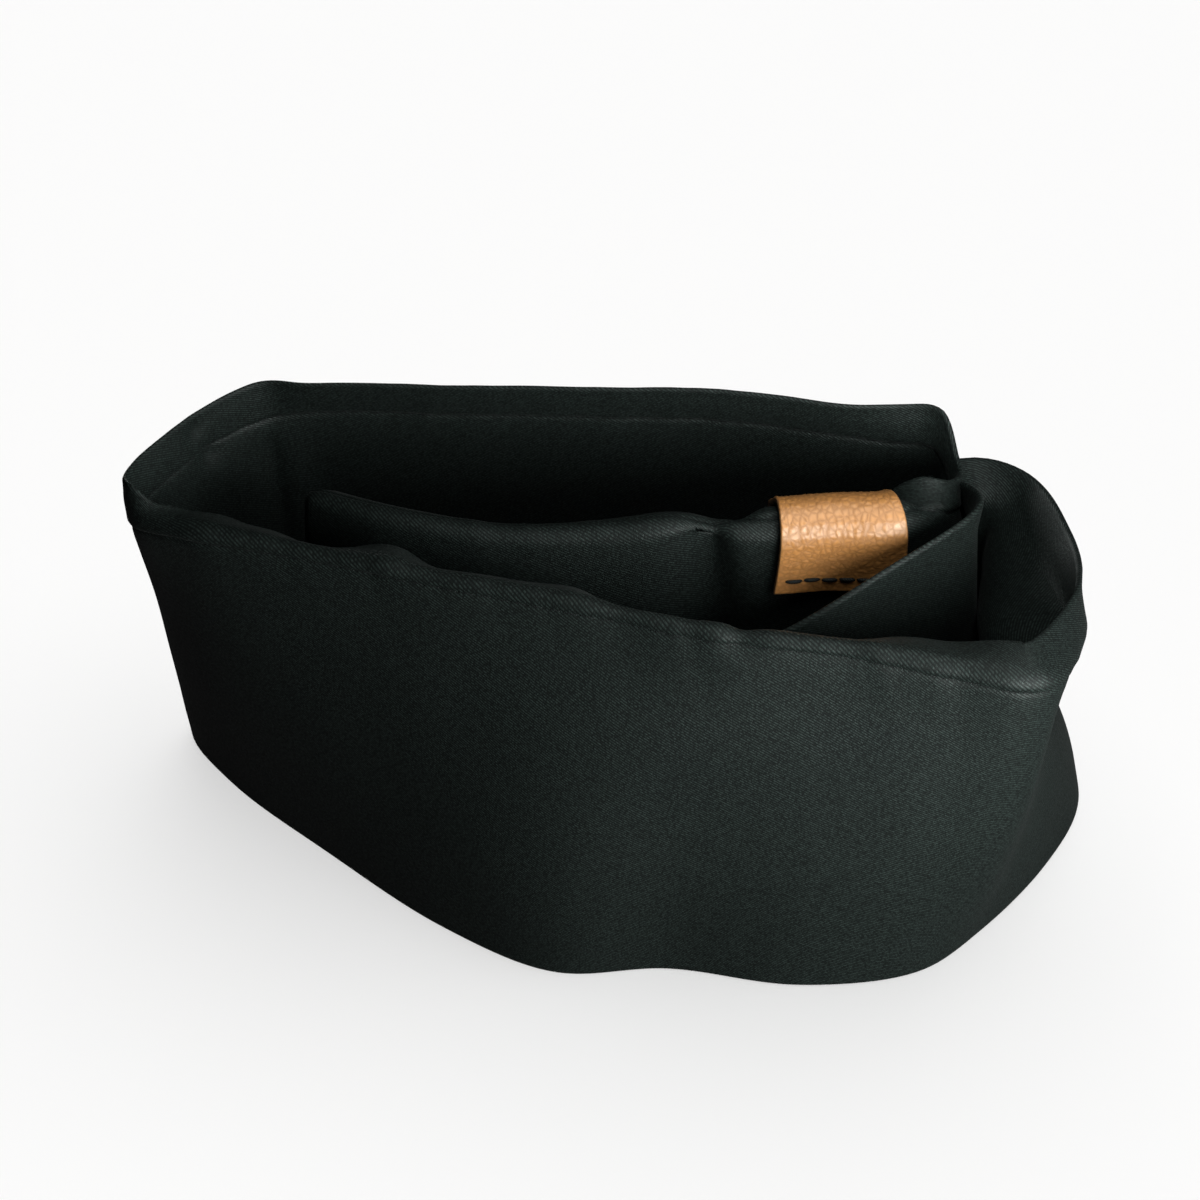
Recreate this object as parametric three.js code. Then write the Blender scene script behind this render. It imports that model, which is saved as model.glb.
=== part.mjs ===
// A wire headband: one long satin band, sewn as a flat double-layer tube, with a wire channel
// stitched along its upper edge and a leather tag folded over that edge. The band is wound into a
// loose flat coil and stands on its plain lower edge.
// Millimetres, +Z up, +X along the coil, +Y from its front turn to its back turn. The origin is the
// middle of the coil's bounding box, on the surface that it stands on.
import * as THREE from "three";

// Driving dimensions
const BAND_WIDTH = 84; // on the cloth, from the lower edge to the rim
const CHANNEL_WIDTH = 9; // from the stitched seam up to the rim
const WALL_WIDTH = BAND_WIDTH - CHANNEL_WIDTH;
const WALL = 2; // both layers of satin
const CHANNEL_WALL = 2.8; // across the channel, where the cloth is rolled round the wire
const SEAM_WALL = 1.6; // where the stitches pull the layers together
const RIM_WALL = 1.2; // the flattened end of the channel's round
const CHANNEL_BEND = 3; // the channel leans over within this much of the seam
const TAG_BEND = 4.5; // and within this much under the leather tag, which keeps the bend rounder
const TAG_REACH = 0.6; // how far beside the tag that shows, as places in the table below
const STEPS_PER_ROW = 4; // facets between two rows of the table below
const COIL_CENTRE = { x: 5.04, y: -27.77 }; // the coil's middle in the table's own grid

const TAG_LEFT = 5.06; // the tag's two sides, as places in the table below
const TAG_RIGHT = 6.96;
const TAG_DROP = 19.5; // from the rim down to the tag's lower edge
const TAG_LEATHER = 1.2;
const TAG_GAP = 0.45; // between the leather and the cloth
const TAG_STEPS = 8;
const TAG_FOLD_ANGLES = [30, 60, 90, 120, 150]; // facets of the fold over the rim

// The band's route, from its inner end to its outer end. Each row is one place along the band:
// seam  the foot of the wire channel (x, y, z)
// foot  the lower edge, on the surface (x, y)
// roll  how far the channel leans to the left of the route, in degrees from upright
// belly how far the wall swells to the right of the route, halfway up
const COIL = [
  { place: "inner end", seam: [-51, -19, 72.8], foot: [-52, -18], roll: 127, belly: 2 },
  { place: "inner turn", seam: [-36, -26, 73.6], foot: [-38, -24], roll: 128, belly: 2 },
  { place: "inner turn", seam: [-17, -30, 73.1], foot: [-18, -29], roll: 128, belly: 2 },
  { place: "inner turn", seam: [3, -30, 73.7], foot: [2, -30], roll: 126, belly: 2 },
  { place: "dimple", seam: [16, -29.5, 74.7], foot: [17, -28], roll: 124, belly: 0 },
  { place: "tag, left", seam: [28, -29.5, 72.7], foot: [28, -27], roll: 134, belly: 1 },
  { place: "tag, middle", seam: [40, -28.5, 72.9], foot: [40, -27], roll: 134, belly: 1 },
  { place: "tag, right", seam: [52, -28, 73], foot: [51, -26], roll: 118, belly: 1 },
  { place: "inner corner", seam: [60.6, -24.8, 71], foot: [59.2, -23], roll: 22, belly: 0 },
  { place: "short side", seam: [61.3, -13.5, 66.5], foot: [62, -12], roll: 10, belly: 0 },
  { place: "back corner", seam: [60, -2.5, 72.5], foot: [61.5, 2], roll: 0, belly: 0 },
  { place: "back turn", seam: [54, -1, 72], foot: [56, 6], roll: 2, belly: 1 },
  { place: "back turn", seam: [42, 0, 73.2], foot: [41, 7], roll: 19, belly: 2 },
  { place: "back turn", seam: [18, 3, 74.3], foot: [17, 9], roll: 19, belly: 3 },
  { place: "back turn", seam: [-20, 5.2, 74.3], foot: [-20, 11.2], roll: 22, belly: 3 },
  { place: "back turn", seam: [-52, 6.2, 74], foot: [-48, 12.8], roll: 22, belly: 2 },
  { place: "left back corner", seam: [-60.5, 4.5, 73.4], foot: [-57, 12.5], roll: 6, belly: -2 },
  { place: "left side", seam: [-73, -8, 73], foot: [-70, 11], roll: 6, belly: -1 },
  { place: "left front corner", seam: [-80, -25, 73.2], foot: [-79, 3], roll: 0, belly: -1 },
  { place: "front turn", seam: [-71, -31, 75], foot: [-70, -12], roll: 98, belly: 1 },
  { place: "front turn", seam: [-52, -36.5, 75], foot: [-50, -31], roll: 130, belly: 3 },
  { place: "front turn", seam: [-28, -44, 75], foot: [-28, -50], roll: 122, belly: 3 },
  { place: "front turn", seam: [-4, -51, 75], foot: [-8, -61], roll: 132, belly: 3 },
  { place: "front turn", seam: [18, -58, 75], foot: [12, -60], roll: 128, belly: 3 },
  { place: "front turn", seam: [40, -62, 75], foot: [35, -64], roll: 130, belly: 3 },
  { place: "front turn", seam: [57, -66, 74], foot: [56, -61], roll: 88, belly: 3 },
  { place: "right front corner", seam: [71, -68, 73], foot: [67, -52], roll: 50, belly: 2 },
  { place: "right side", seam: [80, -47, 66.5], foot: [82, -34], roll: 24, belly: -8 },
  { place: "right side", seam: [78.6, -35, 63], foot: [90, -18], roll: -12, belly: -13.5 },
  { place: "right side", seam: [77.3, -22, 60], foot: [89, -3], roll: -30, belly: -10 },
  { place: "turn back", seam: [75, -10, 59], foot: [84, 6], roll: -34, belly: -5 },
  { place: "turn back", seam: [72, -3, 58], foot: [78, 9], roll: -38, belly: -2 },
  { place: "turn back", seam: [69, -2.6, 58.5], foot: [72.5, 7], roll: -44, belly: 0 },
  { place: "turn back", seam: [67.6, -7, 61], foot: [69.5, -1], roll: -34, belly: 0 },
  { place: "tail", seam: [66, -15, 65.5], foot: [66.8, -12], roll: -6, belly: 0 },
  { place: "tail", seam: [63.5, -26, 69], foot: [65.5, -24.5], roll: 8, belly: 0 },
  { place: "tail", seam: [47, -39, 66], foot: [52, -38], roll: 5, belly: 2 },
  { place: "tail", seam: [28, -45, 56], foot: [34, -44], roll: 0, belly: 4 },
  { place: "outer end", seam: [10, -43, 49], foot: [17, -43], roll: 0, belly: 5 },
];

// The right side is drawn in just under the seam, between these rows, and fades back to an even
// belly within the reach, in rows.
const WAIST_FIRST = 27.3;
const WAIST_LAST = 30.5;
const WAIST_REACH = 1.2;
const HIGH_WAIST = 2.6;

// The heights at which the band has facets, on the cloth, from the lower edge up to the rim.
const LEVELS = [
  { height: 0, thick: WALL },
  { height: 9, thick: WALL },
  { height: 22, thick: WALL },
  { height: 36, thick: WALL },
  { height: 50, thick: WALL },
  { height: 63, thick: WALL },
  { height: WALL_WIDTH - 2, thick: WALL },
  { height: WALL_WIDTH, thick: SEAM_WALL },
  { height: WALL_WIDTH + 2, thick: CHANNEL_WALL },
  { height: WALL_WIDTH + 5, thick: CHANNEL_WALL },
  { height: WALL_WIDTH + 8, thick: 2.2 },
  { height: BAND_WIDTH, thick: RIM_WALL },
];

const LAST_ROW = COIL.length - 1;

function curveThrough(points) {
  return new THREE.CatmullRomCurve3(points, false, "centripetal");
}

const seamCurve = curveThrough(COIL.map((row) => new THREE.Vector3(...row.seam)));
const footCurve = curveThrough(COIL.map((row) => new THREE.Vector3(...row.foot, 0)));
const leanCurve = curveThrough(COIL.map((row) => new THREE.Vector3(row.roll, row.belly, 0)));

// The level direction to the left of the seam, at a place in the table.
function leftOf(place) {
  const along = seamCurve.getTangent(place / LAST_ROW);
  return new THREE.Vector3(-along.y, along.x, 0).normalize();
}

// How far the belly is drawn up towards the seam: 1 leaves it halfway up the wall.
function waistAt(place) {
  const away = Math.max(WAIST_FIRST - place, place - WAIST_LAST, 0);
  return THREE.MathUtils.lerp(HIGH_WAIST, 1, THREE.MathUtils.smoothstep(away, 0, WAIST_REACH));
}

// A point in the middle of the wall: straight from foot to seam, plus its belly.
function wallPoint(place, share) {
  const t = place / LAST_ROW;
  const belly = leanCurve.getPoint(t).y * Math.sin(Math.PI * share ** waistAt(place));
  const straight = footCurve.getPoint(t).lerp(seamCurve.getPoint(t), share);
  return straight.addScaledVector(leftOf(place), -belly);
}

// How far above the seam the channel has leaned over.
function bendAt(place) {
  const away = Math.max(TAG_LEFT - place, place - TAG_RIGHT, 0);
  const share = THREE.MathUtils.smoothstep(away, 0, TAG_REACH);
  return THREE.MathUtils.lerp(TAG_BEND, CHANNEL_BEND, share);
}

// A point in the middle of the channel, which leans half its roll up to the bend and all of it
// beyond.
function channelPoint(place, above) {
  const t = place / LAST_ROW;
  const left = leftOf(place);
  const roll = THREE.MathUtils.degToRad(leanCurve.getPoint(t).x);
  const lower = Math.min(above, bendAt(place));
  const upper = above - lower;
  const point = seamCurve.getPoint(t);
  point.addScaledVector(left, Math.sin(roll / 2) * lower + Math.sin(roll) * upper);
  point.z += Math.cos(roll / 2) * lower + Math.cos(roll) * upper;
  return point;
}

function bandPoint(place, height) {
  const above = height - WALL_WIDTH;
  return above <= 0 ? wallPoint(place, height / WALL_WIDTH) : channelPoint(place, above);
}

// The direction straight out of the cloth, to the left of the route. It is level at the lower
// edge, so that the edge stands flat.
function bandNormal(place, height) {
  const along = bandPoint(Math.min(place + 0.02, LAST_ROW), height);
  along.sub(bandPoint(Math.max(place - 0.02, 0), height));
  const up = bandPoint(place, Math.min(height + 0.5, BAND_WIDTH));
  up.sub(bandPoint(place, Math.max(height - 0.5, 0)));
  const normal = up.cross(along).normalize();
  return height === 0 ? normal.setZ(0).normalize() : normal;
}

// A point this far out of the band's middle, to the left of the route.
function besideBand(place, height, distance) {
  return bandPoint(place, height).addScaledVector(bandNormal(place, height), distance);
}

// A closed solid from rings of points, one ring for each step along it. A ring runs up one face
// and down the other, and the first and last rings are capped.
function solidFromRings(rings) {
  const size = rings[0].length;
  const lastRing = (rings.length - 1) * size;
  const indices = [];
  for (let start = 0; start < lastRing; start += size) {
    for (let side = 0; side < size; side += 1) {
      const a = start + side;
      const b = start + ((side + 1) % size);
      indices.push(a, b + size, b, a, a + size, b + size);
    }
  }
  for (let side = 0; side < size / 2 - 1; side += 1) {
    const far = size - 1 - side;
    indices.push(side, far - 1, far, side, side + 1, far - 1);
    indices.push(lastRing + side, lastRing + far, lastRing + far - 1);
    indices.push(lastRing + side, lastRing + far - 1, lastRing + side + 1);
  }
  const positions = rings.flat().flatMap((point) => point.toArray());
  const geometry = new THREE.BufferGeometry();
  geometry.setAttribute("position", new THREE.Float32BufferAttribute(positions, 3));
  geometry.setIndex(indices);
  geometry.translate(-COIL_CENTRE.x, -COIL_CENTRE.y, 0);
  geometry.computeVertexNormals();
  return geometry;
}

function bandGeometry() {
  const rings = [];
  for (let step = 0; step <= LAST_ROW * STEPS_PER_ROW; step += 1) {
    const place = step / STEPS_PER_ROW;
    const right = LEVELS.map((level) => besideBand(place, level.height, -level.thick / 2));
    const left = LEVELS.map((level) => besideBand(place, level.height, level.thick / 2));
    rings.push([...right, ...left.reverse()]);
  }
  return solidFromRings(rings);
}

// One line round the tag, this far out of the band's middle: up the right face, over the rim in a
// half circle and down the left face.
function tagLine(place, distance) {
  const low = BAND_WIDTH - TAG_DROP;
  const fold = BAND_WIDTH - CHANNEL_WALL / 4;
  const flap = [low, (low + WALL_WIDTH) / 2, WALL_WIDTH, WALL_WIDTH + TAG_BEND, fold - 0.8];
  const centre = bandPoint(place, fold);
  const up = centre.clone().sub(bandPoint(place, fold - 1)).normalize();
  const points = flap.map((height) => besideBand(place, height, -distance));
  for (const degrees of TAG_FOLD_ANGLES) {
    const angle = THREE.MathUtils.degToRad(degrees);
    const point = besideBand(place, fold, -distance * Math.cos(angle));
    points.push(point.addScaledVector(up, distance * Math.sin(angle)));
  }
  return [...points, ...flap.reverse().map((height) => besideBand(place, height, distance))];
}

function tagGeometry() {
  const inside = CHANNEL_WALL / 2 + TAG_GAP;
  const rings = [];
  for (let step = 0; step <= TAG_STEPS; step += 1) {
    const place = THREE.MathUtils.lerp(TAG_LEFT, TAG_RIGHT, step / TAG_STEPS);
    const outer = tagLine(place, inside + TAG_LEATHER);
    rings.push([...outer, ...tagLine(place, inside).reverse()]);
  }
  return solidFromRings(rings);
}

function piece(name, geometry, material) {
  const mesh = new THREE.Mesh(geometry, material);
  mesh.name = name;
  return mesh;
}

const blackSatin = new THREE.MeshStandardMaterial({ color: 0x0c1110, roughness: 0.55, metalness: 0 });
const tanLeather = new THREE.MeshStandardMaterial({ color: 0xb0713f, roughness: 0.6, metalness: 0 });

const headband = new THREE.Group();
headband.add(piece("satin_band", bandGeometry(), blackSatin));
headband.add(piece("leather_tag", tagGeometry(), tanLeather));

export default headband;
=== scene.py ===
import math

import bpy
import numpy as np
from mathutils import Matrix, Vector


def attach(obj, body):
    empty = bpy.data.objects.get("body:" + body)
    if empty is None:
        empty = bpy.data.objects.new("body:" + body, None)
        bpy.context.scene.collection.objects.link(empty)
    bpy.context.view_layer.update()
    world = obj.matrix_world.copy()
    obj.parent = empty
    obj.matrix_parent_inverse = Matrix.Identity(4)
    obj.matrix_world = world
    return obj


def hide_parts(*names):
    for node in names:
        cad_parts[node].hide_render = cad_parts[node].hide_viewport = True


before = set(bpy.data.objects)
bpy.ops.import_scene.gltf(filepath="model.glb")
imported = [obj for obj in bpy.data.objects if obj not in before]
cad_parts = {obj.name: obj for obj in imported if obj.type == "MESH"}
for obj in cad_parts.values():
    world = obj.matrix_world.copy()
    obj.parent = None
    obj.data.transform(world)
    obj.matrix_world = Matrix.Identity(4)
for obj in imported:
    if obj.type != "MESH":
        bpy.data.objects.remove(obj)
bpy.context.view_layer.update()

# A wire headband: one long satin band, sewn as a flat tube with a wire channel along its upper
# edge, and a leather tag folded over that edge. The band is wound into a loose coil that stands on
# its plain lower edge. Shapes are worked out in millimetres and put down in metres.
MM = 0.001
WALL_HEIGHT = 75.0  # on the cloth, from the lower edge to the stitched seam
CHANNEL_HEIGHT = 9.0  # from the seam up to the rim
RIM = WALL_HEIGHT + CHANNEL_HEIGHT
COIL_CENTRE = np.array([5.04, -27.77, 0.0])  # the coil's middle, in the route's own measure

# The band's route, from its inner end to its outer end: the foot of the channel (x, y, z), the
# lower edge (x, y), the channel's lean to the left of the route in degrees, and how far the wall
# swells to the right halfway up.
COIL = [
    ((-51, -19, 72.8), (-52, -18), 127, 2),  # inner end
    ((-36, -26, 73.6), (-38, -24), 128, 2),  # inner turn
    ((-17, -30, 73.1), (-18, -29), 128, 2),
    ((3, -30, 73.7), (2, -30), 126, 2),
    ((16, -29.5, 74.7), (17, -28), 124, 0),  # dimple
    ((28, -29.5, 72.7), (28, -27), 134, 1),  # tag, left
    ((40, -28.5, 72.9), (40, -27), 134, 1),  # tag, middle
    ((52, -28, 73), (51, -26), 128, 1),  # tag, right
    ((60.8, -21.3, 72.6), (59.6, -20), 64, 0),  # inner corner
    ((62.4, -12, 68.5), (62.8, -11), -12, 3),  # short side
    ((59.4, -2.5, 72.5), (61.5, 2), -2, 2.2),  # back corner
    ((54, -1, 72), (56, 6), 2, 1),  # back turn
    ((42, 0, 73.2), (41, 7), 19, 2),
    ((18, 3, 74.3), (17, 9), 19, 3),
    ((-20, 5.2, 74.3), (-20, 11.2), 22, 3),
    ((-52, 6.2, 74), (-48, 12.8), 22, 2),
    ((-60.5, 4.5, 73.4), (-57, 12.5), 6, -2),  # left back corner
    ((-73, -8, 73), (-70, 11), 1, -1),  # left side
    ((-80, -25, 73.2), (-79, 3), -4, -1),  # left front corner
    ((-71, -31, 75), (-70, -12), 98, 1),  # front turn
    ((-52, -36.5, 75), (-50, -31), 130, 3),
    ((-28, -44, 75), (-28, -50), 122, 3),
    ((-4, -51, 75), (-8, -61), 132, 3),
    ((18, -58, 75), (12, -60), 128, 3),
    ((40, -62, 75), (35, -64), 130, 3),
    ((57, -66, 74), (56, -61), 96, 3),
    ((71, -68, 73), (67, -52), 66, 2),  # right front corner
    ((80, -47, 66.5), (82, -34), 24, -8),  # right side
    ((78.6, -35, 63), (90, -18), -12, -13.5),
    ((77.3, -22, 60), (89, -3), -30, -11.5),
    ((75, -10, 59), (84, 6), -34, -7),  # turn back
    ((72, -3, 58), (78, 9), -38, -3.5),
    ((66.9, -1.3, 59.4), (74.5, 7.5), -66, 0),
    ((64.7, -7, 61.8), (70.6, -1), -60, 0),
    ((65, -15, 65.5), (69.3, -12.5), -12, 0),  # tail
    ((63.5, -26, 69), (66.5, -24.5), 8, 0),
    ((47, -39, 66), (52, -38), 5, 2),
    ((28, -45, 56), (34, -44), 0, 4),
    ((10, -43, 49), (17, -43), 0, 5),  # outer end
]
LAST_ROW = len(COIL) - 1
ROUTE_STEPS = 6000  # places along the route at which its length is measured
STATION_GAP = 1.0  # between two rings of the mesh, along the seam
SMOOTHING = 1.8  # how far, along the seam, the cloth rounds off the route's own bends

# How the band leans and narrows. A pair of rows says where along the route, and a margin says
# over how many rows more it fades away.
TAG_SIDES, TAG_MARGIN = (5.13, 6.98), 0.6
CHANNEL_BEND = 3.0  # the channel leans over within this much of the seam
TAG_BEND = 7.6  # and within this much under the leather tag, which keeps the bend rounder
WAIST, WAIST_ROWS, WAIST_MARGIN = 3.4, (27, 30.5), 1.2  # how high it is drawn in: 1 is halfway
INNER_FOLD, INNER_ROWS, INNER_MARGIN = 4.0, (-1, 7.3), 0.7  # it folds over this far below its seam
WAVER, WAVER_ROWS, WAVER_MARGIN = 24, (20, 25), 0.6  # degrees that the front channel's lean varies
WAVER_LENGTH = 11  # along the band, from one lean to the next
PINCHES = [  # first and last row, margin in rows, share of the channel's height that is lost
    (8.5, 9.3, 0.6, 0.35),
    (18.55, 18.9, 0.5, 0.4),
]
SEAMLESS_ROW, SEAMLESS_MARGIN = 26.4, 0.8  # from here on, the inner face has no seam to see

# The cloth's unevenness, moved to the left of the route.
DIMPLES = [  # row, height on the cloth, depth, radius
    (16.86, 80.5, 0.9, 2.2),
    (16.7, 73.3, 1.2, 2.6),
]
WAVES = [  # depth, length along the band, length up it, seed
    (0.4, 34, 40, 3),
    (0.176, 15, 26, 5),
]
PUCKERS = [  # depth, length along the band, place across the noise, seed
    (0.2, 3.1, 0.37, 7),
    (0.2, 6.3, 0.61, 11),
]
PUCKER_SLANT = 0.35  # how far a pucker leans along the band for each step up it
PUCKERS_DOWN, PUCKERS_UP = 5.0, 7.0  # how far they reach down the wall and up the channel

# Both layers together.
WALL_THICKNESS, CHANNEL_THICKNESS, SEAM_THICKNESS = 1.35, 1.5, 0.9
SWELLS_BELOW, SWELLS_ABOVE = 3.5, 1.2  # from the seam to the full thickness
GROOVE_DEPTH, GROOVE_WIDTH = 0.62, 0.45  # where the stitches pull the layers together
EDGE_ROUNDING, END_ROUNDING = 0.8, 2.0


# ---------------------------------------------------------------- curves and soft noise
def curve_through(points, rows):
    """A smooth centripetal curve through the points, one to a row, at places counted in rows."""
    points = np.asarray(points, float)
    points = np.vstack([2 * points[0] - points[1], points, 2 * points[-1] - points[-2]])
    start = np.clip(rows.astype(int), 0, LAST_ROW - 1)
    share = (rows - start)[:, None]
    a, b, c, d = (points[start + k] for k in range(4))
    gaps = [np.sqrt(np.linalg.norm(q - p, axis=1))[:, None] for p, q in ((a, b), (b, c), (c, d))]
    middle = np.where(gaps[1] < 1e-4, 1.0, gaps[1])
    first = np.where(gaps[0] < 1e-4, middle, gaps[0])
    last = np.where(gaps[2] < 1e-4, middle, gaps[2])
    leave = ((b - a) / first - (c - a) / (first + middle) + (c - b) / middle) * middle
    reach = ((c - b) / middle - (d - b) / (middle + last) + (d - c) / last) * middle
    square = -3 * b + 3 * c - 2 * leave - reach
    cube = 2 * b - 2 * c + leave + reach
    return b + leave * share + square * share**2 + cube * share**3


def rounded(values, sigma):
    """The values with their bends rounded off over sigma steps, and their ends kept in place."""
    reach = int(4 * sigma) + 1
    weights = np.exp(-0.5 * (np.arange(-reach, reach + 1) / sigma) ** 2)
    weights /= weights.sum()
    ahead = 2 * values[0] - values[reach:0:-1]
    behind = 2 * values[-1] - values[-2 : -reach - 2 : -1]
    padded = np.concatenate([ahead, values, behind])
    return np.stack([np.convolve(column, weights, "valid") for column in padded.T], 1)


def ease(x):
    """A soft step: 0 up to 0, and 1 from 1 on."""
    x = np.clip(x, 0.0, 1.0)
    return x * x * (3 - 2 * x)


def soft_noise(x, y, seed):
    """Smooth noise from -1 to 1 with one bump to each unit of x and y."""
    cells = 128
    x, y = np.broadcast_arrays(np.asarray(x, float), np.asarray(y, float))
    grid = np.random.default_rng(seed).uniform(-1, 1, (cells, cells))
    left, low = np.floor(x).astype(int), np.floor(y).astype(int)
    across, up = ease(x - left), ease(y - low)

    def at(i, j):
        return grid[(left + i) % cells, (low + j) % cells]

    lower = at(0, 0) * (1 - across) + at(1, 0) * across
    upper = at(0, 1) * (1 - across) + at(1, 1) * across
    return lower * (1 - up) + upper * up


def bump(x, centre, before, after=None):
    """A soft bump, 1 at its centre, that may fall over another width than it rises over."""
    gap = x - centre
    width = before if after is None else np.where(gap < 0, before, after)
    return np.exp(-((gap / width) ** 2))


def unit(vectors):
    return vectors / np.maximum(np.linalg.norm(vectors, axis=-1, keepdims=True), 1e-12)


# ---------------------------------------------------------------- the band's middle surface
def stations():
    """Rows of the route at even steps along the seam, and the length up to each."""
    rows = np.linspace(0, LAST_ROW, ROUTE_STEPS)
    seam = curve_through([row[0] for row in COIL], rows)
    length = np.concatenate([[0], np.cumsum(np.linalg.norm(np.diff(seam, axis=0), axis=1))])
    even = np.linspace(0, length[-1], int(round(length[-1] / STATION_GAP)) + 1)
    return np.interp(even, length, rows), even


def band_heights():
    """Heights on the cloth for the mesh's points, closest together at the edges and the seam."""
    wall = [0, 0.15, 0.45, 1.0, 2.0, *np.arange(4.5, 62, 2.75)]
    under_seam = [*np.arange(63.5, 73, 0.95), 73.3, 73.9, 74.35, 74.65, 74.85]
    channel = [WALL_HEIGHT, 75.15, 75.35, 75.65, 76.1, *np.arange(76.7, 82.6, 0.72)]
    rim = [82.9, 83.3, 83.6, 83.82, 83.95, RIM]
    return np.array([*wall, *under_seam, *channel, *rim])


places, lengths = stations()
heights = band_heights()
BAND_LENGTH = lengths[-1]


def length_at(row):
    return float(np.interp(row, places, lengths))


def route():
    """Seam, foot, and lean and belly, at each station, with the bends rounded off."""
    seam = [row[0] for row in COIL]
    foot = [(*row[1], 0) for row in COIL]
    lean_and_belly = [(row[2], row[3], 0) for row in COIL]
    columns = (seam, foot, lean_and_belly)
    sigma = SMOOTHING / STATION_GAP
    return [rounded(curve_through(column, places), sigma) for column in columns]


def near_rows(first, last, margin):
    """1 at the stations between two rows, fading to 0 over the margin, in rows, on both sides."""
    away = np.maximum(np.maximum(first - places, places - last), 0)
    return 1 - ease(away / margin)


def under_tag(margin):
    """1 under the tag, fading to 0 over the margin, in millimetres, on both sides of it."""
    start, end = length_at(TAG_SIDES[0]), length_at(TAG_SIDES[1])
    return ease((lengths - start) / margin + 1) * ease((end - lengths) / margin + 1)


def middle_surface():
    """Points in the middle of the band, one row for each station and one column for each height."""
    seam, foot, lean_and_belly = route()
    lean, belly = lean_and_belly[:, :1], lean_and_belly[:, 1:2]
    along = np.gradient(seam, axis=0)
    left = unit(np.stack([-along[:, 1], along[:, 0], np.zeros(len(along))], 1))
    knee = (WALL_HEIGHT - INNER_FOLD * near_rows(*INNER_ROWS, INNER_MARGIN))[:, None]
    share = np.clip(heights / knee, 0, 1)[:, :, None]
    straight = foot[:, None] * (1 - share) + seam[:, None] * share
    waist = 1 + (WAIST - 1) * near_rows(*WAIST_ROWS, WAIST_MARGIN)[:, None]
    swell = belly[:, :, None] * np.sin(np.pi * share ** waist[:, :, None])
    wall = straight - left[:, None] * swell
    slope = ((seam - foot) * left).sum(1, keepdims=True) + math.pi * belly * waist
    start = np.arctan2(slope, seam[:, 2:])
    lost = sum(part * near_rows(first, last, margin) for first, last, margin, part in PINCHES)
    past_knee = np.maximum(heights - knee, 0) * (1 - lost)[:, None]
    tagged = near_rows(*TAG_SIDES, TAG_MARGIN)[:, None]
    bend = CHANNEL_BEND + (TAG_BEND - CHANNEL_BEND) * tagged
    waver = WAVER * soft_noise(lengths / WAVER_LENGTH, 0.5, seed=47)
    waver = waver * near_rows(*WAVER_ROWS, WAVER_MARGIN)
    turned = np.radians(lean + waver[:, None])
    angle = start + (turned - start) * np.clip(past_knee / bend, 0, 1)
    angle = (angle[:, 1:] + angle[:, :-1]) / 2
    step = np.diff(past_knee, axis=1)
    zero = np.zeros_like(knee)
    out = np.concatenate([zero, np.cumsum(np.sin(angle) * step, 1)], 1)[:, :, None]
    rise = np.concatenate([zero, np.cumsum(np.cos(angle) * step, 1)], 1)[:, :, None]
    return wall + out * left[:, None] + rise * np.array([0, 0, 1.0]) - COIL_CENTRE


def normals_of(surface):
    """Straight out of the cloth, to the left of the route, and level along the lower edge."""
    along = np.gradient(surface, lengths, axis=0)
    up = np.gradient(surface, heights, axis=1)
    normal = unit(np.cross(up, along))
    normal[:, 0, 2] = 0
    return unit(normal)


def above(height, margin):
    """0 up to this height on the cloth, and 1 from the margin above it."""
    return ease((heights[None] - height) / margin)


def below(height, margin):
    """0 from this height on the cloth, and 1 up to the margin below it."""
    return ease((height - heights[None]) / margin)


def fold(row, depth, before, after, lean=0.0):
    """A fold up the band at a row of the route: its depth, and its reach before and after it."""
    return depth * bump(lengths[:, None] + lean, length_at(row), before, after)


def dimple(row, height, depth, radius):
    """A round hollow, its depth to the right of the route."""
    away = (lengths[:, None] - length_at(row)) ** 2 + (heights[None] - height) ** 2
    return -depth * np.exp(-away / radius**2)


def folds():
    """The few folds that are larger than the waves, and the dimples."""
    narrower_up = 2.2 + 3.2 * below(74, 22)
    beside_tag = fold(row=4.27, depth=3.0, before=5.5, after=narrower_up)
    beside_tag = beside_tag * (0.25 + 0.75 * below(77, 7)) * above(0, 25)
    channel_ridge = fold(row=20.68, depth=-0.6, before=10.0, after=3.0) * above(74.2, 3.0)
    channel_pit = fold(row=23.2, depth=0.8, before=2.2, after=3.4) * above(72, 4.0)
    corner_crease = fold(row=15.9, depth=-1.3, before=2.0, after=5.0)
    corner_crease = corner_crease * below(WALL_HEIGHT, 9) * above(0, 25)
    lean = 0.27 * (40 - heights[None])
    front_brow = fold(row=22.4, depth=-2.2, before=30.0, after=30.0, lean=lean)
    front_brow = front_brow * above(0, 30) * below(WALL_HEIGHT, 22)
    dimples = sum(dimple(*each) for each in DIMPLES)
    return beside_tag + channel_ridge + channel_pit + dimples + corner_crease + front_brow


def relief():
    """How far the cloth moves to the left: long soft waves, and puckers at the seam."""
    s, h = lengths[:, None], heights[None]
    waves = sum(depth * soft_noise(s / long, h / tall, seed) for depth, long, tall, seed in WAVES)
    from_seam = h - WALL_HEIGHT
    slant = s + PUCKER_SLANT * from_seam
    pucker = sum(depth * soft_noise(slant / long, at, seed) for depth, long, at, seed in PUCKERS)
    reach = np.where(from_seam < 0, -PUCKERS_DOWN, PUCKERS_UP)
    pucker = pucker * np.exp(-from_seam / reach) * shows_seam[:, None]
    calm = 1 - 0.9 * under_tag(6.0)[:, None]
    return (above(0, 12) * waves + pucker) * calm + folds()


def rounded_edge(gap, radius):
    """The share of its thickness that the cloth has this far in from an edge."""
    away = 1 - np.clip(gap / radius, 0, 1)
    return np.sqrt(np.clip(1 - away**2, 0.04, 1))


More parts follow.
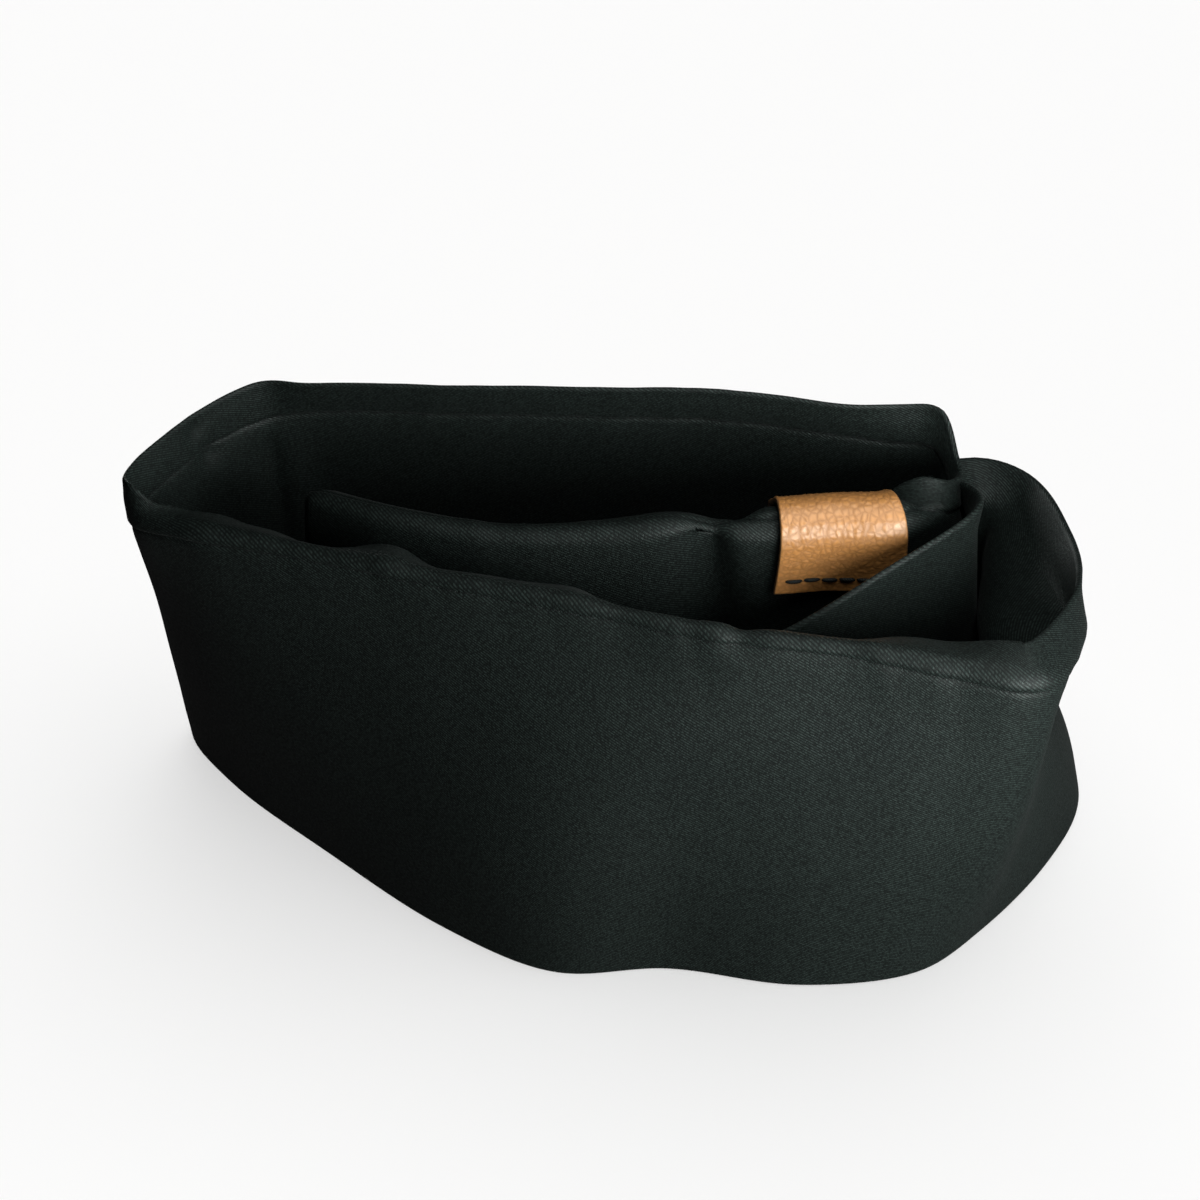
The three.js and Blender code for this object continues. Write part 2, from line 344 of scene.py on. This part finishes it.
def half_thickness(seam):
    """From the middle out to one face: seam is 1 where the face shows its seam and channel."""
    s, h = lengths[:, None], heights[None]
    from_seam = h - WALL_HEIGHT
    wall = WALL_THICKNESS + 0.2 * soft_noise(s / 22, h / 18, seed=17)
    thinner_rim = 0.5 * above(79.5, 4.0)
    channel = CHANNEL_THICKNESS + 0.12 * soft_noise(s / 9, 0.5, seed=19) - thinner_rim
    near = ease(np.abs(from_seam) / np.where(from_seam < 0, SWELLS_BELOW, SWELLS_ABOVE))
    sewn = SEAM_THICKNESS + (np.where(from_seam < 0, wall, channel) - SEAM_THICKNESS) * near
    sewn = sewn + 0.14 * soft_noise(s / 2.6, 0.83, seed=23) * bump(from_seam, 1.4, 1.1)
    sewn = sewn - GROOVE_DEPTH * bump(from_seam, 0, GROOVE_WIDTH)
    thick = wall + (sewn - wall) * seam[:, None]
    thick = thick * rounded_edge(h, EDGE_ROUNDING) * rounded_edge(RIM - h, EDGE_ROUNDING)
    ends = np.minimum(lengths, BAND_LENGTH - lengths)
    return thick * rounded_edge(ends, END_ROUNDING)[:, None] / 2


shows_seam = 1 - near_rows(SEAMLESS_ROW + SEAMLESS_MARGIN, LAST_ROW, SEAMLESS_MARGIN)
middle = middle_surface()
calm_middle, calm_normal = middle.copy(), normals_of(middle)
middle = middle + calm_normal * relief()[:, :, None]
normal = normals_of(middle)
to_right, to_left = half_thickness(np.ones_like(places)), half_thickness(shows_seam)


def on_surface(grid, length, height):
    """The grid's values at any length and height of the band."""
    i = np.interp(length, lengths, np.arange(len(lengths)))
    j = np.interp(height, heights, np.arange(len(heights)))
    i0 = np.clip(i.astype(int), 0, len(lengths) - 2)
    j0 = np.clip(j.astype(int), 0, len(heights) - 2)
    a, b = i - i0, j - j0
    if grid.ndim == 3:
        a, b = a[..., None], b[..., None]
    low = grid[i0, j0] * (1 - a) + grid[i0 + 1, j0] * a
    high = grid[i0, j0 + 1] * (1 - a) + grid[i0 + 1, j0 + 1] * a
    return low * (1 - b) + high * b


# ---------------------------------------------------------------- meshes
LOWER_EDGE_GIRTH = 0.4  # round the lower edge, from one face to the other
STITCH, STITCH_GAP = 2.45, 0.55
STITCH_ARCH = np.array([-0.3, -0.13, -0.09, -0.08, -0.09, -0.13, -0.3])  # above the cloth
CHANNEL_THREAD, TAG_THREAD = 0.17, 0.42  # radius
THREAD_SIDES = 6


def make_piece(name, points, faces, uvs, material):
    """A smooth mesh from points and a UV pair for each face corner, both in millimetres."""
    mesh = bpy.data.meshes.new(name)
    mesh.from_pydata((points * MM).tolist(), [], faces)
    layer = mesh.uv_layers.new(name="cloth")
    layer.uv.foreach_set("vector", (uvs * MM).astype(np.float32).ravel())
    mesh.polygons.foreach_set("use_smooth", np.ones(len(mesh.polygons), bool))
    mesh.materials.append(material)
    mesh.validate()
    piece = bpy.data.objects.new(name, mesh)
    bpy.context.scene.collection.objects.link(piece)
    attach(piece, "root")
    return piece


def ring_faces(rings, size):
    """Quads between rings of points, each ring closed on itself."""
    start = np.arange(rings - 1)[:, None] * size
    side = np.arange(size)[None]
    after = (side + 1) % size
    quads = np.stack([start + side, start + after, start + size + after, start + size + side], -1)
    return quads.reshape(-1, 4)


def satin_band(material):
    """The band: up its right face, over the rim and down its left face at each station."""
    right = middle - normal * to_right[:, :, None]
    left = (middle + normal * to_left[:, :, None])[:, ::-1]
    ring = np.concatenate([right, left], 1)
    ring[:, :, 2] = np.maximum(ring[:, :, 2], 0)
    rings, size = ring.shape[:2]
    side = size // 2
    faces = ring_faces(rings, size)[:, ::-1]
    girth = np.concatenate([heights, 2 * RIM - heights[::-1], [2 * RIM + LOWER_EDGE_GIRTH]])
    at = faces % size
    wraps = np.ptp(at, axis=1) > side
    at = np.where(wraps[:, None] & (at == 0), size, at)
    uvs = np.stack([lengths[faces // size], girth[at]], -1)
    k = np.arange(side - 1)
    first = np.stack([k, k + 1, size - 2 - k, size - 1 - k], -1)
    last = first[:, ::-1] + (rings - 1) * size
    first_along = np.zeros_like(first) - [0, 0, 1, 1]
    last_along = BAND_LENGTH + np.zeros_like(first) + [1, 1, 0, 0]
    first_uvs = np.stack([first_along, girth[first % size]], -1)
    last_uvs = np.stack([last_along, girth[last % size]], -1)
    faces = np.concatenate([faces, first, last]).tolist()
    uvs = np.concatenate([uvs, first_uvs, last_uvs])
    return make_piece("satin_headband", ring.reshape(-1, 3), faces, uvs, material)


def stitches(name, paths, radius, material):
    """Thread stitches: a short tapered tube along each path of points with its normals."""
    angle = np.arange(THREAD_SIDES) * 2 * np.pi / THREAD_SIDES
    points, faces, uvs = [], [], []
    for path, out in paths:
        count = len(path)
        along = unit(np.gradient(path, axis=0))
        across = unit(np.cross(along, out))
        lift = unit(np.cross(across, along))
        share = np.clip(np.linspace(0, 1, count), 0.02, 0.98)
        girth = (radius * (0.45 + 0.55 * np.sqrt(np.sin(np.pi * share))))[:, None]
        sideways = across[:, None] * (np.cos(angle) * girth)[:, :, None]
        upwards = lift[:, None] * (np.sin(angle) * girth)[:, :, None]
        base = sum(map(len, points))
        points.append((path[:, None] + sideways + upwards).reshape(-1, 3))
        quads = ring_faces(count, THREAD_SIDES)
        run = np.concatenate([[0], np.cumsum(np.linalg.norm(np.diff(path, axis=0), axis=1))])
        corners = np.stack([run[quads // THREAD_SIDES], radius * (quads % THREAD_SIDES)], -1)
        end = base + np.arange(THREAD_SIDES)
        faces += (base + quads).tolist()
        faces += [end[::-1].tolist(), (end + (count - 1) * THREAD_SIDES).tolist()]
        uvs += [corners.reshape(-1, 2), np.zeros((2 * THREAD_SIDES, 2))]
    return make_piece(name, np.concatenate(points), faces, np.concatenate(uvs), material)


def channel_stitches():
    """The stitches along the foot of the channel, on both faces."""
    starts = np.arange(3.0, BAND_LENGTH - 5.0, STITCH + STITCH_GAP)
    along = np.linspace(0, STITCH, len(STITCH_ARCH))
    for side, face, last in ((-1, to_right, BAND_LENGTH), (1, to_left, length_at(SEAMLESS_ROW))):
        for start in starts[starts < last]:
            s = start + along
            h = np.full_like(s, WALL_HEIGHT)
            out = on_surface(normal, s, h) * side
            reach = on_surface(face, s, h) + STITCH_ARCH
            yield on_surface(middle, s, h) + out * reach[:, None], out


# ---------------------------------------------------------------- the leather tag
TAG_DROP = 22.0  # from the rim down to the tag's lower edge
TAG_FOLD = 83.3  # the height on the cloth that the tag's fold goes round
TAG_INSIDE, TAG_OUTSIDE = 1.25, 2.4  # from the middle of the band to the leather's two faces
TAG_WIDTH = length_at(TAG_SIDES[1]) - length_at(TAG_SIDES[0])
FLAP = TAG_FOLD - (RIM - TAG_DROP)
FOLD_GIRTH = math.pi * (TAG_INSIDE + TAG_OUTSIDE) / 2
TAG_GIRTH = 2 * FLAP + FOLD_GIRTH
TAG_BOW = 0.85  # how far the left side bows in between the fold and the lower corner
TAG_SLANT = 1.5  # how far the lower edge falls from left to right
CORNER_CURL, BACK_CURL = 0.75, 0.2  # how far the front's lower left corner and the back stand off
TAG_WAVE, TAG_CROWN = 0.12, 0.25  # the leather's own unevenness, and how far its fold stands proud
TAG_STEP = 0.24  # between the mesh's points
PEBBLE_DEPTH = 0.12
OUTER_ROUNDING, INNER_ROUNDING = 0.32, 0.15  # of the cut edges
TAG_STITCH, TAG_STITCH_GAP = 3.04, 0.18
TAG_STITCH_ARCH = np.array([-0.3, -0.02, 0.06, 0.08, 0.06, -0.02, -0.3])  # above the leather
TAG_STITCH_UP = 2.6  # from the lower edges
TAG_STITCH_MARGIN = 1.2  # from the tag's sides, at least


def tag_point(u, v, distance):
    """A point on the tag: u across it, v round it from its front lower edge over the rim."""
    turn = np.clip((v - FLAP) / FOLD_GIRTH, 0, 1) * np.pi
    height = np.minimum(np.where(v < TAG_GIRTH / 2, v, TAG_GIRTH - v), FLAP)
    lower = 1 - height / FLAP
    from_left = 1 - u / TAG_WIDTH
    bow = TAG_BOW * np.sin(np.pi * np.clip(height / (FLAP + 2), 0, 1)) * from_left**2
    s = length_at(TAG_SIDES[0]) + u + bow
    h = TAG_FOLD - FLAP + height - TAG_SLANT * lower * u / TAG_WIDTH
    point = on_surface(calm_middle, s, h)
    out = on_surface(calm_normal, s, h)
    up = unit(point - on_surface(calm_middle, s, h - 0.5))
    curl = np.where(v < TAG_GIRTH / 2, CORNER_CURL * from_left**3, BACK_CURL) * lower**3
    wave = TAG_WAVE * soft_noise(u / 9, v / 11, seed=41) * ease(lower * 3)
    reach = (distance + curl + wave + TAG_CROWN * np.sin(turn))[..., None]
    return point + (np.sin(turn)[..., None] * up - np.cos(turn)[..., None] * out) * reach


def pebbles(u, v, seed):
    """Leather grain from 0 in the creases to 1 on top of a pebble, one to each unit of u and v."""
    cells, crease = 97, 0.8
    x, y = u.ravel(), v.ravel()
    centres = np.random.default_rng(seed).uniform(0, 1, (cells, cells, 2))
    left, low = np.floor(x).astype(int), np.floor(y).astype(int)
    gaps = []
    for i in (-1, 0, 1):
        for j in (-1, 0, 1):
            centre = centres[(left + i) % cells, (low + j) % cells]
            gaps.append(np.hypot(left + i + centre[:, 0] - x, low + j + centre[:, 1] - y))
    gaps = np.sort(np.stack(gaps), 0)
    return ease((gaps[1] - gaps[0]) / crease).reshape(u.shape)


def fine_from_edge(length, step):
    """Places from 0 to the length, close together near both ends."""
    near = np.array([0, 0.05, 0.13, 0.23, 0.34])
    count = int(round((length - 2 * near[-1]) / step)) + 1
    inner = np.linspace(near[-1], length - near[-1], count)
    return np.concatenate([near[:-1], inner, length - near[-2::-1]])


def leather_tag(material):
    """The folded tag: a grained outer face, a plain inner face and the cut edges between them."""
    across, round_it = fine_from_edge(TAG_WIDTH, TAG_STEP), fine_from_edge(TAG_GIRTH, TAG_STEP)
    u, v = np.meshgrid(across, round_it, indexing="ij")
    gap = np.minimum(np.minimum(u, TAG_WIDTH - u), np.minimum(v, TAG_GIRTH - v))

    def shoulder(radius):
        return radius * (1 - np.sqrt(1 - (1 - np.clip(gap / radius, 0, 1)) ** 2))

    front = ease(1.2 - v / FLAP)
    long, tall = 0.6 + 0.75 * front, 0.52 - 0.1 * front
    grain = pebbles(u / long, (v + 0.12 * u) / tall, seed=43)
    grain = PEBBLE_DEPTH * (grain * ease(gap / 0.4) - 0.5)
    outer = tag_point(u, v, TAG_OUTSIDE - shoulder(OUTER_ROUNDING) + grain)
    inner = tag_point(u, v, TAG_INSIDE + shoulder(INNER_ROUNDING))
    points = np.concatenate([outer.reshape(-1, 3), inner.reshape(-1, 3)])
    index = np.arange(u.size).reshape(u.shape)
    quads = np.stack([index[:-1, :-1], index[1:, :-1], index[1:, 1:], index[:-1, 1:]], -1)
    quads = quads.reshape(-1, 4)
    rim = np.concatenate([index[:, 0], index[-1, 1:], index[-2::-1, -1], index[0, -2:0:-1]])
    after = np.roll(rim, -1)
    sides = np.stack([rim, rim + u.size, after + u.size, after], -1)
    faces = np.concatenate([quads, quads[:, ::-1] + u.size, sides])
    uvs = np.stack([u.ravel(), v.ravel()], -1)[faces % u.size]
    return make_piece("leather_tag_fold", points, faces.tolist(), uvs, material)


def tag_stitches():
    """Thick stitches through both flaps, a little above their lower edges."""
    step = TAG_STITCH + TAG_STITCH_GAP
    count = int((TAG_WIDTH - 2 * TAG_STITCH_MARGIN) // step)
    start = (TAG_WIDTH - count * step + TAG_STITCH_GAP) / 2
    along = np.linspace(0, TAG_STITCH, len(TAG_STITCH_ARCH))
    for line in (TAG_STITCH_UP, TAG_GIRTH - TAG_STITCH_UP):
        for k in range(count):
            uneven = 0.1 * np.sin(k * 2.1)
            u = start + k * step + along
            v = np.full_like(u, line + uneven)
            out = unit(tag_point(u, v, TAG_OUTSIDE + 1.0) - tag_point(u, v, TAG_OUTSIDE))
            yield tag_point(u, v, TAG_OUTSIDE + TAG_STITCH_ARCH), out


# ---------------------------------------------------------------- materials
def place(tree, kind, inputs=(), **settings):
    """A node with its settings, and each input given a socket to link or a value."""
    node = tree.nodes.new(kind)
    for key, value in settings.items():
        setattr(node, key, value)
    for key, value in inputs.items() if isinstance(inputs, dict) else enumerate(inputs):
        if isinstance(value, bpy.types.NodeSocket):
            tree.links.new(value, node.inputs[key])
        else:
            node.inputs[key].default_value = value
    return node


def math_node(tree, operation, *inputs):
    return place(tree, "ShaderNodeMath", inputs, operation=operation).outputs[0]


def vector_node(tree, operation, *inputs):
    return place(tree, "ShaderNodeVectorMath", inputs, operation=operation).outputs[0]


def mix_colour(tree, share, first, second):
    inputs = {0: share, 6: first, 7: second}
    return place(tree, "ShaderNodeMix", inputs, data_type="RGBA").outputs[2]


def span(tree, value, low, high, to_low=0.0, to_high=1.0):
    """The value moved from one range to another, and held inside it."""
    return place(tree, "ShaderNodeMapRange", (value, low, high, to_low, to_high)).outputs[0]


def noise(tree, where, scale, detail=2.0, roughness=0.5):
    inputs = {"Vector": where, "Scale": scale, "Detail": detail, "Roughness": roughness}
    return place(tree, "ShaderNodeTexNoise", inputs).outputs


def bumped(tree, height, strength, distance):
    inputs = {"Strength": strength, "Distance": distance, "Height": height}
    return place(tree, "ShaderNodeBump", inputs).outputs[0]


def cloth_measure(tree):
    """Places on the piece in metres: along and round the cloth, the thread or the leather."""
    return place(tree, "ShaderNodeUVMap", uv_map="cloth").outputs[0]


def body_measure(tree):
    """Places in the object's own room, in metres."""
    return place(tree, "ShaderNodeTexCoord").outputs["Object"]


def from_ends(tree, at, length):
    """How far a place is from the nearer end of a length."""
    return math_node(tree, "MINIMUM", at, math_node(tree, "SUBTRACT", length, at))


def shared_group(name, inputs, outputs):
    """An empty node group with named sockets: kinds are Float, Vector or Color."""
    tree = bpy.data.node_groups.new(name, "ShaderNodeTree")
    for label, kind in inputs.items():
        tree.interface.new_socket(name=label, in_out="INPUT", socket_type="NodeSocket" + kind)
    for label, kind in outputs.items():
        tree.interface.new_socket(name=label, in_out="OUTPUT", socket_type="NodeSocket" + kind)
    source = tree.nodes.new("NodeGroupInput").outputs
    result = tree.nodes.new("NodeGroupOutput").inputs
    return tree, source, result


def placed_group(tree, group, **inputs):
    """The outputs of a shared group, placed with its own inputs."""
    return place(tree, "ShaderNodeGroup", inputs, node_tree=group).outputs


def twill_group():
    """Slanting ribs broken into floats, 0 to 1 high, from the cloth's own measure in metres."""
    floats_per_metre, rib_offset, lowest_float = 2200.0, 5.7, 0.15
    tree, source, result = shared_group(
        "satin twill",
        {"Cloth": "Vector", "Spacing": "Float", "Slope": "Float", "Unevenness": "Float"},
        {"Height": "Float"},
    )

    def times(a, b):
        return math_node(tree, "MULTIPLY", a, b)

    split = place(tree, "ShaderNodeSeparateXYZ", (source["Cloth"],)).outputs
    sine = math_node(tree, "SINE", source["Slope"])
    cosine = math_node(tree, "COSINE", source["Slope"])
    across = math_node(tree, "ADD", times(split[0], sine), times(split[1], cosine))
    along = math_node(tree, "SUBTRACT", times(split[0], cosine), times(split[1], sine))
    drift = math_node(tree, "SUBTRACT", noise(tree, source["Cloth"], 260.0)["Fac"], 0.5)
    drift = times(drift, source["Unevenness"])
    ribs = math_node(tree, "ADD", math_node(tree, "DIVIDE", across, source["Spacing"]), drift)
    wave = math_node(tree, "SINE", times(ribs, 2 * math.pi))
    rib = math_node(tree, "MULTIPLY_ADD", wave, 0.5, 0.5)
    number = math_node(tree, "FLOOR", math_node(tree, "ADD", ribs, 0.25))
    run = times(along, floats_per_metre)
    spot = place(tree, "ShaderNodeCombineXYZ", (run, times(number, rib_offset), 0.0)).outputs[0]
    floats = span(tree, noise(tree, spot, 1.0, detail=1.0)["Fac"], 0.34, 0.66)
    floats = math_node(tree, "MULTIPLY_ADD", floats, 1 - lowest_float, lowest_float)
    tree.links.new(times(rib, floats), result["Height"])
    return tree


def mottle_group():
    """Slow variation over a surface, about 1."""
    tree, source, result = shared_group(
        "slow mottle", {"Place": "Vector", "Size": "Float", "Amount": "Float"}, {"Shade": "Float"}
    )
    scale = math_node(tree, "DIVIDE", 1.0, source["Size"])
    cloud = noise(tree, source["Place"], scale, detail=3.0, roughness=0.55)["Fac"]
    centred = math_node(tree, "SUBTRACT", cloud, 0.5)
    shade = math_node(tree, "MULTIPLY_ADD", centred, source["Amount"], 1.0)
    tree.links.new(shade, result["Shade"])
    return tree


def lint_group():
    """A mask of tiny specks of dust and lint, one here and there."""
    tree, source, result = shared_group(
        "lint specks",
        {"Place": "Vector", "Spacing": "Float", "Size": "Float", "Share": "Float"},
        {"Specks": "Float"},
    )
    scale = math_node(tree, "DIVIDE", 1.0, source["Spacing"])
    cells = place(tree, "ShaderNodeTexVoronoi", {"Vector": source["Place"], "Scale": scale}).outputs
    reach = math_node(tree, "DIVIDE", source["Size"], source["Spacing"])
    close = math_node(tree, "LESS_THAN", cells["Distance"], reach)
    chance = place(tree, "ShaderNodeSeparateColor", (cells["Color"],)).outputs[0]
    chosen = math_node(tree, "LESS_THAN", chance, source["Share"])
    tree.links.new(math_node(tree, "MULTIPLY", close, chosen), result["Specks"])
    return tree


TWILL, MOTTLE, LINT = twill_group(), mottle_group(), lint_group()


def new_material(name, **sockets):
    """A material whose shader has these values all over, and its tree and shader."""
    material = bpy.data.materials.new(name)
    material.use_nodes = True
    tree = material.node_tree
    shader = tree.nodes["Principled BSDF"]
    for key, value in sockets.items():
        shader.inputs[key.replace("_", " ")].default_value = value
    return material, tree, shader


def feed(tree, shader, **sockets):
    """Links what changes over the surface to the shader's sockets."""
    for key, value in sockets.items():
        tree.links.new(value, shader.inputs[key.replace("_", " ")])


def black_satin():
    material, tree, shader = new_material(
        "black satin", Specular_IOR_Level=0.2, Sheen_Weight=0.02, Sheen_Roughness=0.35
    )
    # Painted shade and sheen: the weave's hollows are coloured darker and its raised floats
    # lighter, as the relief would be lit; the mottle varies this at random.
    shaded_deep, lit_raised = (0.0025, 0.0035, 0.0032, 1), (0.0235, 0.0325, 0.0295, 1)
    lint = (0.35, 0.36, 0.35, 1)
    cloth, body = cloth_measure(tree), body_measure(tree)
    weave = placed_group(tree, TWILL, Cloth=cloth, Spacing=0.00042, Slope=0.46, Unevenness=0.5)[0]
    shade = placed_group(tree, MOTTLE, Place=body, Size=0.03, Amount=0.35)[0]
    specks = placed_group(tree, LINT, Place=body, Spacing=0.014, Size=0.00016, Share=0.22)[0]
    colour = mix_colour(tree, math_node(tree, "MULTIPLY", weave, shade), shaded_deep, lit_raised)
    colour = mix_colour(tree, specks, colour, lint)
    rough = span(tree, weave, 0.0, 1.0, 0.62, 0.42)
    normal = bumped(tree, weave, 0.42, 0.0001)
    feed(tree, shader, Base_Color=colour, Roughness=rough, Normal=normal)
    return material


def black_thread():
    material, tree, shader = new_material("black thread", Specular_IOR_Level=0.25)
    turns = 14000.0  # of the strands, in radians to a metre
    # Painted shade and sheen: the twist's hollows are coloured darker and its raised strands
    # lighter, as the relief would be lit.
    shaded_deep, lit_raised = (0.002, 0.0025, 0.0025, 1), (0.012, 0.014, 0.014, 1)
    split = place(tree, "ShaderNodeSeparateXYZ", (cloth_measure(tree),)).outputs
    twist = math_node(tree, "MULTIPLY", math_node(tree, "ADD", split[0], split[1]), turns)
    twist = math_node(tree, "MULTIPLY_ADD", math_node(tree, "SINE", twist), 0.5, 0.5)
    shade = placed_group(tree, MOTTLE, Place=body_measure(tree), Size=0.006, Amount=0.5)[0]
    tone = math_node(tree, "MULTIPLY", twist, shade)
    colour = mix_colour(tree, tone, shaded_deep, lit_raised)
    rough = span(tree, tone, 0.0, 1.0, 0.75, 0.5)
    normal = bumped(tree, twist, 0.5, 0.00005)
    feed(tree, shader, Base_Color=colour, Roughness=rough, Normal=normal)
    return material


def tan_leather():
    material, tree, shader = new_material(
        "tan leather", Specular_IOR_Level=0.6, Coat_Weight=0.7, Coat_Roughness=0.42
    )
    # Painted shade and highlight: the grain's creases are coloured darker and the pebble tops
    # lighter, as the relief would be lit.
    crease, pebble_top_lit = (0.3, 0.115, 0.026, 1), (0.55, 0.235, 0.066, 1)
    cut_edge, dust = (0.2, 0.095, 0.04, 1), (0.6, 0.55, 0.5, 1)
    hide, body = cloth_measure(tree), body_measure(tree)
    split = place(tree, "ShaderNodeSeparateXYZ", (hide,)).outputs
    push = vector_node(tree, "MULTIPLY", noise(tree, hide, 420.0)["Color"], (0.0006, 0.0006, 0))
    moved = vector_node(tree, "ADD", hide, push)
    stretched = vector_node(tree, "MULTIPLY", moved, (0.72, 1.15, 1))
    inputs = {"Vector": stretched, "Scale": 1150.0}
    cells = place(tree, "ShaderNodeTexVoronoi", inputs, feature="DISTANCE_TO_EDGE").outputs
    pebble = span(tree, cells["Distance"], 0.0, 0.3)
    pores = noise(tree, hide, 5200.0)["Fac"]
    shade = placed_group(tree, MOTTLE, Place=body, Size=0.005, Amount=0.5)[0]
    specks = placed_group(tree, LINT, Place=body, Spacing=0.005, Size=0.00008, Share=0.05)[0]
    tone = math_node(tree, "MULTIPLY", math_node(tree, "MULTIPLY_ADD", pebble, 0.6, 0.4), shade)
    from_side = from_ends(tree, split[0], TAG_WIDTH * MM)
    from_lower_edge = from_ends(tree, split[1], TAG_GIRTH * MM)
    from_cut = math_node(tree, "MINIMUM", from_side, from_lower_edge)
    # Painted shade in the grain's creases, painted highlight on the pebble tops.
    colour = mix_colour(tree, tone, crease, pebble_top_lit)
    colour = mix_colour(tree, span(tree, from_cut, 0.0, 0.00035, 1.0, 0.0), colour, cut_edge)
    colour = mix_colour(tree, specks, colour, dust)
    rough = span(tree, math_node(tree, "MULTIPLY", pebble, shade), 0.0, 1.0, 0.6, 0.36)
    normal = bumped(tree, math_node(tree, "MULTIPLY_ADD", pores, 0.25, pebble), 0.4, 0.0001)
    feed(tree, shader, Base_Color=colour, Roughness=rough, Normal=normal)
    return material


# ---------------------------------------------------------------- the object
satin, thread, leather = black_satin(), black_thread(), tan_leather()

band = satin_band(satin)
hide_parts("satin_band")
seam_thread = stitches("channel_stitching", channel_stitches(), CHANNEL_THREAD, thread)

tag = leather_tag(leather)
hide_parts("leather_tag")
tag_thread = stitches("tag_stitching", tag_stitches(), TAG_THREAD, thread)


# ---------------------------------------------------------------- floor, light and camera
# All in metres and watts. The object and the floor are lit apart from each other.
FLOOR_REACH = 8.0
ROOM_LIGHT, BACKDROP = 0.01, 0.95  # what the room gives the object, and how bright it looks
WINDOW_SIDE, WINDOW_COLOUR = 0.12, (0.93, 1, 0.975)
WINDOWS = [  # soft lights close to the object, all turned towards its heart
    ("front window", 0.42, (0.110, -0.166, 0.12)),
    ("low window", 0.15, (0.110, -0.166, 0.06)),
    ("upper window", 0.13, (0.176, -0.166, 0.16)),
    ("side window", 0.32, (0.280, -0.160, 0.15)),
    ("back window", 0.45, (-0.12, 0.28, 0.06)),
    ("ceiling", 0.11, (0.05, -0.02, 0.20)),
]
HEART = Vector((0.02, -0.01, 0.05))  # what the windows are turned towards
CAMERA_AIM = Vector((-COIL_CENTRE[0], -COIL_CENTRE[1], 35.0)) * MM
CAMERA_AWAY, CAMERA_RISE = 0.54, math.radians(40)  # from its aim, and above the floor
CAMERA_LENS, CAMERA_SENSOR = 87.0, 36.0  # millimetres


def pale_floor():
    """A white floor that throws little of its light back up, as a far bigger room would."""
    material, tree, shader = new_material("pale floor", Roughness=0.9, Specular_IOR_Level=0.0)
    thrown_back, white = (0.05, 0.05, 0.05, 1), (0.93, 0.928, 0.925, 1)
    seen = place(tree, "ShaderNodeLightPath").outputs["Is Camera Ray"]
    feed(tree, shader, Base_Color=mix_colour(tree, seen, thrown_back, white))
    mesh = bpy.data.meshes.new("floor")
    corners = np.array([(-1, -1, 0), (1, -1, 0), (1, 1, 0), (-1, 1, 0)]) * FLOOR_REACH
    mesh.from_pydata(corners.tolist(), [], [(0, 1, 2, 3)])
    mesh.materials.append(material)
    floor = bpy.data.objects.new("floor", mesh)
    bpy.context.scene.collection.objects.link(floor)
    return floor


def soft_room():
    """Pale all round where it is seen, and nearly dark as a light on the object."""
    world = bpy.data.worlds.new("soft room")
    bpy.context.scene.world = world
    world.use_nodes = True
    tree = world.node_tree
    seen = place(tree, "ShaderNodeLightPath").outputs["Is Camera Ray"]
    strength = place(tree, "ShaderNodeMix", {0: seen, 2: ROOM_LIGHT, 3: BACKDROP}).outputs[0]
    tree.links.new(strength, tree.nodes["Background"].inputs["Strength"])


def light_on(pieces, data, towards):
    """Put a light in the scene, turned so, and let it fall on these pieces only."""
    light = bpy.data.objects.new(data.name, data)
    bpy.context.scene.collection.objects.link(light)
    light.visible_camera = False
    light.rotation_mode = "QUATERNION"
    light.rotation_quaternion = towards.to_track_quat("Z", "Y")
    lit = bpy.data.collections.new("lit by " + data.name)
    for piece in pieces:
        lit.objects.link(piece)
    light.light_linking.receiver_collection = lit
    return light


def window(name, watts, at, pieces):
    """A square of soft light close to the object."""
    data = bpy.data.lights.new(name, "AREA")
    data.energy, data.shape, data.size, data.color = watts, "SQUARE", WINDOW_SIDE, WINDOW_COLOUR
    light_on(pieces, data, Vector(at) - HEART).location = at


def far_light(name, strength, spread, towards, pieces, shadows=True):
    """Even light from far away, spread in degrees."""
    data = bpy.data.lights.new(name, "SUN")
    data.energy, data.angle, data.use_shadow = strength, math.radians(spread), shadows
    light_on(pieces, data, Vector(towards))


def camera():
    data = bpy.data.cameras.new("camera")
    data.lens, data.sensor_width = CAMERA_LENS, CAMERA_SENSOR
    data.clip_start, data.clip_end = 0.01, 50
    view = bpy.data.objects.new("camera", data)
    bpy.context.scene.collection.objects.link(view)
    back = Vector((0, -math.cos(CAMERA_RISE), math.sin(CAMERA_RISE)))
    view.location = CAMERA_AIM + back * CAMERA_AWAY
    view.rotation_mode = "QUATERNION"
    view.rotation_quaternion = (-back).to_track_quat("-Z", "Y")
    bpy.context.scene.camera = view


floor = pale_floor()
soft_room()
for name, watts, at in WINDOWS:
    window(name, watts, at, (band, seam_thread, tag, tag_thread))
far_light("floor light", 1.35, 80, (0.2, 0.1, 0.9), (floor,))
far_light("open floor light", 1.97, 10, (0, 0, 1), (floor,), shadows=False)
camera()
bpy.context.scene.view_settings.view_transform = "Standard"
